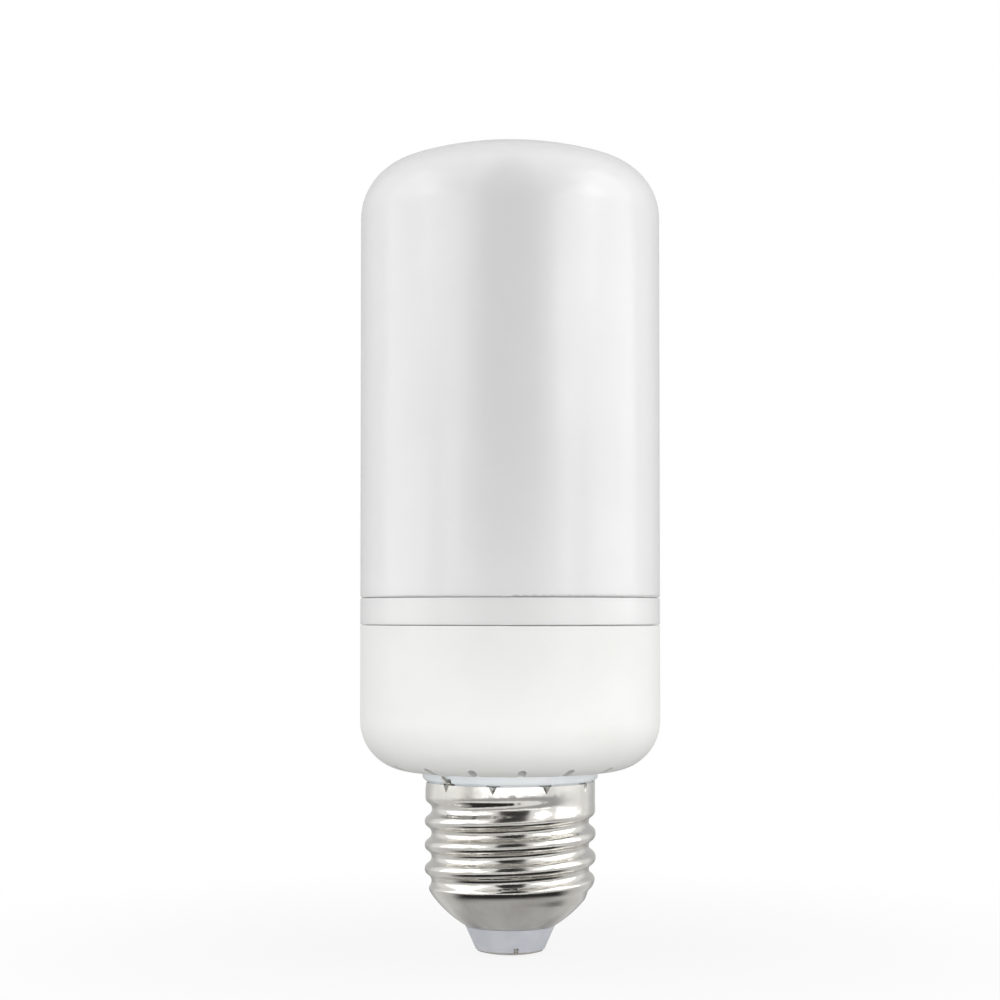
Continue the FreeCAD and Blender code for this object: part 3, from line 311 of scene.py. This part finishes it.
class Look(Enum):
    """The finishes of the bulb's pieces."""

    # Opal polycarbonate, moulded: a satin white that takes soft reflections
    COVER = OpalPolycarbonate(
        "opal_polycarbonate", "E2E1E1", "DFDEDE", 0.34, 1.58, cloud_mm=22.0, grain_mm=0.4, grain_depth_mm=0.0015
    )
    # The same resin, a little denser: the light comes back nearer to where it went in
    RING = OpalPolycarbonate("dense_polycarbonate", "E0E0DF", "DDDDDC", 0.36, 1.58, glow_mm=2.0)
    # Glass-filled polyester, moulded in a finely eroded tool: a warm, even white
    HOUSING = MouldedPlastic("eroded_polyester", "E7E7E5", "E4E4E1", 0.42, 1.57, grain_mm=0.3, grain_depth_mm=0.003)
    # Polyester from a polished tool: a cold glossy white
    NECK = MouldedPlastic("polished_polyester", "EFF3F5", "E9EFF2", 0.16, 1.57, grain_mm=0.6, grain_depth_mm=0.001)
    # Nickel plate on rolled steel sheet: bright, warm in its highlights
    SHELL = RolledNickel("nickel_on_sheet", "DAD8D3", "CECBC5", 0.14)
    # Nickel plate on a turned and pressed rivet: a little duller than the shell
    CONTACT = RolledNickel("nickel_on_rivet", "D2CEC8", "BFB8AE", 0.2, grain_mm=0.2)
    # Pressed mineral-filled resin: pale grey with a bluish cast and small pores
    INSULATOR = MouldedPlastic(
        "pressed_resin", "D0D2D8", "C7CAD1", 0.45, 1.55, cloud_mm=3.0, grain_mm=0.35, grain_depth_mm=0.008
    )
    # Moulded plastic core, seen only through the vents: a plain dull white
    CORE = MouldedPlastic("moulded_core", "DADAD6", "D2D2CE", 0.5)
    # White solder mask over glass cloth: smooth, with a faint weave
    WHITE_BOARD = MouldedPlastic("white_solder_mask", "E6E6E2", "DEDED8", 0.3, cloud_mm=1.0, grain_mm=0.5)
    # Resin filled with phosphor powder: an even deep yellow
    TOP_LEDS = MouldedPlastic("phosphor_resin", PHOSPHOR, "DFAF34", 0.4, cloud_mm=1.0)
    # Green solder mask over glass cloth and copper: glossy, darker over the bare cloth
    GREEN_BOARD = MouldedPlastic("green_solder_mask", "1E6B38", "185A2E", 0.28, cloud_mm=1.6, grain_mm=0.5)
    # Shrunk sleeve over an aluminium can: a dark glossy film
    CAPACITOR = MouldedPlastic("shrunk_sleeve", "1C1D24", "15161B", 0.25, cloud_mm=2.0, grain_mm=0.8)
    # Flameproof enamel: thick, slightly orange-peeled
    RESISTOR = MouldedPlastic("flameproof_enamel", "7FA98C", "739D80", 0.3, cloud_mm=1.0, grain_depth_mm=0.02)
    # Dipped epoxy over wound film: glossy and slightly lumpy
    FILM = MouldedPlastic("dipped_epoxy", "B5682C", "A65B24", 0.22, cloud_mm=1.5, grain_mm=0.8, grain_depth_mm=0.02)
    # Sintered ferrite: dark, dry and granular
    FERRITE = MouldedPlastic("sintered_ferrite", "2B2B2E", "232326", 0.6, cloud_mm=0.8, grain_mm=0.15)
    # Moulded epoxy: black and dull, with a fine grain
    CHIP = MouldedPlastic("moulded_epoxy", "17171A", "121214", 0.55, cloud_mm=1.0, grain_mm=0.1)
    # Tinned copper wire: soft and bright
    TINNED = RolledNickel("tinned_copper", "DAD8D2", "C9C6BE", 0.2, grain_mm=0.1)
    # Extruded silicone insulation: a satin red
    INSULATION = MouldedPlastic("extruded_silicone", "B02A22", "A0221B", 0.4, cloud_mm=1.0, grain_mm=0.3)
    # Zinc plate on a small screw: a bluish grey, duller than nickel
    SCREW = RolledNickel("zinc_plate", "A9ABAE", "96989C", 0.3, grain_mm=0.1)


# The bulb's sub-assemblies


def dress_node(name: str, finish: Finish, built: dict[str, Material]) -> None:
    """Give a CAD node its finish.

    Args:
        name: The node's name.
        finish: What it is made of.
        built: The materials made so far, by finish name.
    """
    if finish.name not in built:
        built[finish.name] = finish.build()
    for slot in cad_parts[name].material_slots:
        slot.material = built[finish.name]
    log.info("%s is %s", name, finish.name)


@dataclass
class SubAssembly:
    """CAD nodes that belong together, and what each is made of."""

    looks: dict[str, Look] = field(default_factory=dict)

    def dress(self, built: dict[str, Material]) -> None:
        """Finish each piece.

        Args:
            built: The materials made so far, by finish name.
        """
        for name, look in self.looks.items():
            dress_node(name, look.value, built)


@dataclass
class Envelope(SubAssembly):
    """The cover, the band, the housing and the neck."""

    looks: dict[str, Look] = field(
        default_factory=lambda: {
            "diffuser_cover": Look.COVER,
            "cover_ring": Look.RING,
            "base_housing": Look.HOUSING,
            "cap_neck": Look.NECK,
        }
    )


@dataclass
class ScrewCap(SubAssembly):
    """The threaded shell, its insulator, the contact and the two bare leads."""

    looks: dict[str, Look] = field(
        default_factory=lambda: {
            "screw_shell": Look.SHELL,
            "cap_insulator": Look.INSULATOR,
            "centre_contact": Look.CONTACT,
            "bare_lead_end": Look.TINNED,
            "side_lead": Look.TINNED,
        }
    )


@dataclass
class LedTower(SubAssembly):
    """The core, its boards and the LEDs on them."""

    rows: int = 8
    half_step: float = math.radians(15)
    looks: dict[str, Look] = field(
        default_factory=lambda: {
            "led_core": Look.CORE,
            "led_wrap_board": Look.WHITE_BOARD,
            "top_board": Look.WHITE_BOARD,
            "top_board_screws": Look.SCREW,
            "top_leds": Look.TOP_LEDS,
        }
    )

    def dress(self, built: dict[str, Material]) -> None:
        """Finish the core and its boards, and each row of LEDs about its own level.

        Args:
            built: The materials made so far, by finish name.
        """
        super().dress(built)
        for row in range(1, self.rows + 1):
            name = f"flame_leds_row_{row}"
            low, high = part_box(name)
            turn = self.half_step if row % 2 else 0.0
            package = LedPackage(
                f"led_row_{row}", "F2F0EA", "ECEAE2", 0.35, cloud_mm=2.0, level=(low.z + high.z) / 2, turn=turn
            )
            dress_node(name, package, built)


@dataclass
class Driver(SubAssembly):
    """The driver board, the parts on it and its leads."""

    looks: dict[str, Look] = field(
        default_factory=lambda: {
            "driver_board": Look.GREEN_BOARD,
            "smoothing_capacitor": Look.CAPACITOR,
            "fusible_resistor": Look.RESISTOR,
            "film_capacitor": Look.FILM,
            "transformer": Look.FERRITE,
            "bridge_rectifier": Look.CHIP,
            "driver_chip": Look.CHIP,
            "flame_chip": Look.CHIP,
            "centre_lead": Look.INSULATION,
            "led_leads": Look.INSULATION,
        }
    )


# The studio


@dataclass(frozen=True)
class SoftBox:
    """A flat rectangular lamp that faces the bulb.

    Its azimuth is in degrees: 0 is in front of the bulb, and positive turns to its right in the picture.
    """

    name: str
    azimuth: float
    distance: float
    level: float
    width: float
    height: float
    radiance: float
    mirrored: bool = True

    def hang(self) -> None:
        """Make the lamp, with the watts that give its face the stated radiance."""
        lamp = bpy.data.lights.new(self.name, "AREA")
        lamp.shape = "RECTANGLE"
        lamp.size = self.width
        lamp.size_y = self.height
        lamp.energy = self.radiance * math.pi * self.width * self.height
        holder = bpy.data.objects.new(self.name, lamp)
        bpy.context.scene.collection.objects.link(holder)
        holder.visible_camera = False
        holder.visible_glossy = self.mirrored
        angle = math.radians(self.azimuth)
        holder.location = (self.distance * math.sin(angle), -self.distance * math.cos(angle), self.level)
        towards = Vector((0, 0, self.level)) - holder.location
        holder.rotation_euler = towards.to_track_quat("-Z", "Z").to_euler()


@dataclass
class Studio:
    """A pale floor in a white room, six lamps, the cards that the bulb mirrors, and the camera."""

    floor_size: float = 8.0
    floor_colour: str = "B4B4B4"
    floor_near_share: float = 0.88
    lamps: tuple[SoftBox, ...] = (
        SoftBox("left_box", -82.0, 0.45, 0.225, 0.82, 0.38, 0.92),
        SoftBox("left_panel", -54.0, 0.45, 0.225, 0.175, 0.38, 1.2),
        SoftBox("right_panel", 54.0, 0.45, 0.225, 0.175, 0.38, 1.75),
        SoftBox("right_box", 82.0, 0.45, 0.225, 0.82, 0.38, 1.1),
        SoftBox("far_strip", 0.0, 0.25, 0.004, 0.60, 0.008, 1.6),
        SoftBox("low_strip", 0.0, 0.055, 0.019, 0.12, 0.008, 2.9, mirrored=False),
    )
    room_light: float = 0.86

    # How bright each card, and each painted shadow near the cap, is in a reflection, where 1 is white
    dark_side: float = 0.04
    back_side: float = 0.6
    # Painted shadow: the grey that the cap mirrors beneath itself, standing in for the floor in its shadow
    painted_shadow_tone: float = 0.5
    card_near: float = 0.03
    card_far: float = 0.45
    # Painted shadow: the grey that the cap mirrors beside itself, standing in for the floor in the bulb's shadow
    painted_side_shadow: float = 0.72

    # Where the floor's tones change, in metres from the bulb's axis
    shadow_end: Pair = (0.02, 0.12)
    near_start: Pair = (0.014, 0.020)
    near_end: Pair = (0.034, 0.042)
    far_start: Pair = (0.060, 0.080)
    far_end: Pair = (0.17, 0.24)
    side_start: Pair = (0.006, 0.016)
    side_end: Pair = (0.03, 0.25)

    # How far round from the front the cards reach, in degrees, and the rise at which the dark side starts
    floor_turn: Pair = (85.0, 55.0)
    front_turn: Pair = (28.0, 14.0)
    back_turn: Pair = (150.0, 120.0)
    horizon: Pair = (0.0, 0.03)

    eye_distance: float = 0.330
    eye_level: float = 0.052
    lens_mm: float = 77.2
    sensor_mm: float = 36.0
    near_clip: float = 0.01
    tilt: float = math.radians(1.67)
    pan: float = math.radians(0.27)
    shift: float = 0.05

    def build(self) -> None:
        """Set up the whole studio."""
        self.lay_floor()
        self.light_room()
        for lamp in self.lamps:
            lamp.hang()
        self.place_camera()
        bpy.context.scene.view_settings.view_transform = "Standard"

    def lay_floor(self) -> None:
        """Lay a pale floor that shows the bulb's shadow and turns to plain white further out."""
        bpy.ops.object.select_all(action="DESELECT")
        bpy.ops.mesh.primitive_plane_add(size=self.floor_size, location=(0, 0, 0))
        floor = bpy.context.object
        floor.name = "studio_floor"
        material = bpy.data.materials.new("pale_paper")
        tree = empty_tree(material)
        rays = add_node(tree, "LightPath").outputs
        place = add_node(tree, "TexCoord").outputs["Object"]
        distance = add_node(tree, "VectorMath", [place], operation="LENGTH").outputs["Value"]
        facing = self.facing(tree, add_node(tree, "SeparateXYZ", [place]).outputs[1], distance)
        in_front = add_node(tree, "MapRange", [facing, *cosines(self.floor_turn)], **SMOOTH)

        near = [distance, *self.shadow_end, self.floor_near_share, 1.0]
        lit = add_node(tree, "MapRange", near, **SMOOTH)
        shown = add_node(tree, "Math", [rays["Is Camera Ray"], lit], operation="MULTIPLY")
        beside = add_node(tree, "MapRange", [distance, *self.side_start], **SMOOTH)
        share = add_node(tree, "Mix", {SHARE: in_front, NUMBER_A: beside, NUMBER_B: 1.0}, **NUMBERS)
        mirrored = add_node(tree, "Math", [rays["Is Glossy Ray"], share], operation="MULTIPLY")
        covered = add_node(tree, "Math", [shown, mirrored], operation="MAXIMUM")

        side, front = self.side_image(tree, facing, distance), self.front_image(tree, distance)
        image = add_node(tree, "Mix", {SHARE: in_front, NUMBER_A: side, NUMBER_B: front}, **NUMBERS)
        strengths = {SHARE: rays["Is Glossy Ray"], NUMBER_A: 1.0, NUMBER_B: image}
        strength = add_node(tree, "Mix", strengths, **NUMBERS)
        white = add_node(tree, "Emission", {"Strength": strength})
        paper = add_node(tree, "BsdfDiffuse", {"Color": linear(self.floor_colour)})
        blend = add_node(tree, "MixShader", [covered, paper, white])
        add_node(tree, "OutputMaterial", {"Surface": blend})
        floor.data.materials.append(material)

    def facing(self, tree: Tree, forward: Socket, reach: Socket | Node) -> Node:
        """Work out on which side of the bulb a place or direction lies.

        Args:
            tree: The node tree that takes the nodes.
            forward: Its y.
            reach: How far it lies from the bulb's axis.

        Returns:
            The node that gives 1 in front of the bulb, 0 beside it and -1 behind it.
        """
        towards = add_node(tree, "Math", [forward, -1.0], operation="MULTIPLY")
        return add_node(tree, "Math", [towards, reach], operation="DIVIDE")

    def front_image(self, tree: Tree, distance: Socket) -> Node:
        """Lay two cards on the floor in front, which only reflections show, as the cap mirrors them: a painted shadow
        of grey beneath the cap, a dark card, and a grey one.

        Args:
            tree: The floor's node tree.
            distance: How far a place lies from the bulb's axis.

        Returns:
            The node that gives the brightness.
        """
        # Painted shadow: beneath the cap the mirrored floor is grey, as if in the cap's shadow, then the dark card
        # starts
        shadow_beneath_cap = add_node(tree, "MapRange", [distance, *self.near_start, self.painted_shadow_tone, self.card_near], **SMOOTH)
        past_near = add_node(tree, "MapRange", [distance, *self.near_end], **SMOOTH)
        beyond = add_node(tree, "MapRange", [distance, *self.far_start, 1.0, self.card_far], **SMOOTH)
        past_far = add_node(tree, "MapRange", [distance, *self.far_end], **SMOOTH)
        near = add_node(tree, "Math", [shadow_beneath_cap, past_near], operation="MAXIMUM")
        both = add_node(tree, "Math", [near, beyond], operation="MULTIPLY")
        return add_node(tree, "Math", [both, past_far], operation="MAXIMUM")

    def side_image(self, tree: Tree, facing: Node, distance: Socket) -> Node:
        """Shade the floor beside and behind the bulb, as the cap mirrors it: a painted shadow, a little grey, near
        the cap.

        Args:
            tree: The floor's node tree.
            facing: 1 in front of the bulb, and -1 behind it.
            distance: How far a place lies from the bulb's axis.

        Returns:
            The node that gives the brightness.
        """
        # Painted shadow: near the cap the mirrored floor is a little grey, as if in the bulb's shadow
        side_shadow = add_node(tree, "MapRange", [distance, *self.side_end, self.painted_side_shadow, 1.0], **SMOOTH)
        return add_node(tree, "Math", [self.back_image(tree, facing), side_shadow], operation="MULTIPLY")

    def back_image(self, tree: Tree, facing: Node) -> Node:
        """Shade the room as the bulb mirrors it: white, and grey behind the bulb.

        Args:
            tree: The node tree that takes the node.
            facing: 1 in front of the bulb, and -1 behind it.

        Returns:
            The node that gives the brightness.
        """
        return add_node(tree, "MapRange", [facing, *cosines(self.back_turn), self.back_side, 1.0], **SMOOTH)

    def light_room(self) -> None:
        """Show a white room, light the bulb evenly, and stand a dark card in front that only reflections show."""
        world = bpy.data.worlds.new("studio_room")
        bpy.context.scene.world = world
        tree = empty_tree(world)
        rays = add_node(tree, "LightPath").outputs
        direction = add_node(tree, "TexCoord").outputs["Generated"]
        split = add_node(tree, "SeparateXYZ", [direction]).outputs
        facing = self.facing(tree, split[1], axis_reach(tree, split))
        in_front = add_node(tree, "MapRange", [facing, *cosines(self.front_turn)], **SMOOTH)
        above = add_node(tree, "MapRange", [split[2], *self.horizon], **SMOOTH)
        dark = add_node(tree, "Math", [in_front, above], operation="MULTIPLY")
        front = add_node(tree, "MapRange", [dark, 0.0, 1.0, 1.0, self.dark_side], **SMOOTH)
        image = add_node(tree, "Math", [front, self.back_image(tree, facing)], operation="MULTIPLY")

        lit = add_node(tree, "Math", [rays["Is Diffuse Ray"], self.room_light], operation="MULTIPLY")
        seen = [rays["Is Camera Ray"], rays["Is Transmission Ray"]]
        shown = add_node(tree, "Math", seen, operation="MAXIMUM")
        mirrored = add_node(tree, "Math", [rays["Is Glossy Ray"], image], operation="MULTIPLY")
        direct = add_node(tree, "Math", [lit, shown], operation="MAXIMUM")
        strength = add_node(tree, "Math", [direct, mirrored], operation="MAXIMUM")
        light = add_node(tree, "Background", {"Color": linear(WHITE), "Strength": strength})
        add_node(tree, "OutputWorld", {"Surface": light})

    def place_camera(self) -> None:
        """Stand a camera at the height of the housing, tilted up slightly."""
        camera = bpy.data.cameras.new("photograph_view")
        camera.lens = self.lens_mm
        camera.sensor_width = self.sensor_mm
        camera.shift_y = self.shift
        camera.clip_start = self.near_clip
        holder = bpy.data.objects.new("photograph_view", camera)
        bpy.context.scene.collection.objects.link(holder)
        holder.location = (0.0, -self.eye_distance, self.eye_level)
        holder.rotation_euler = (math.pi / 2 + self.tilt, 0.0, self.pan)
        bpy.context.scene.camera = holder


def main() -> None:
    """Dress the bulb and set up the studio."""
    logging.basicConfig(level=logging.INFO, format="%(message)s")
    built: dict[str, Material] = {}
    for assembly in (Envelope(), ScrewCap(), LedTower(), Driver()):
        assembly.dress(built)
    Studio().build()


if __name__ == "__main__":
    main()
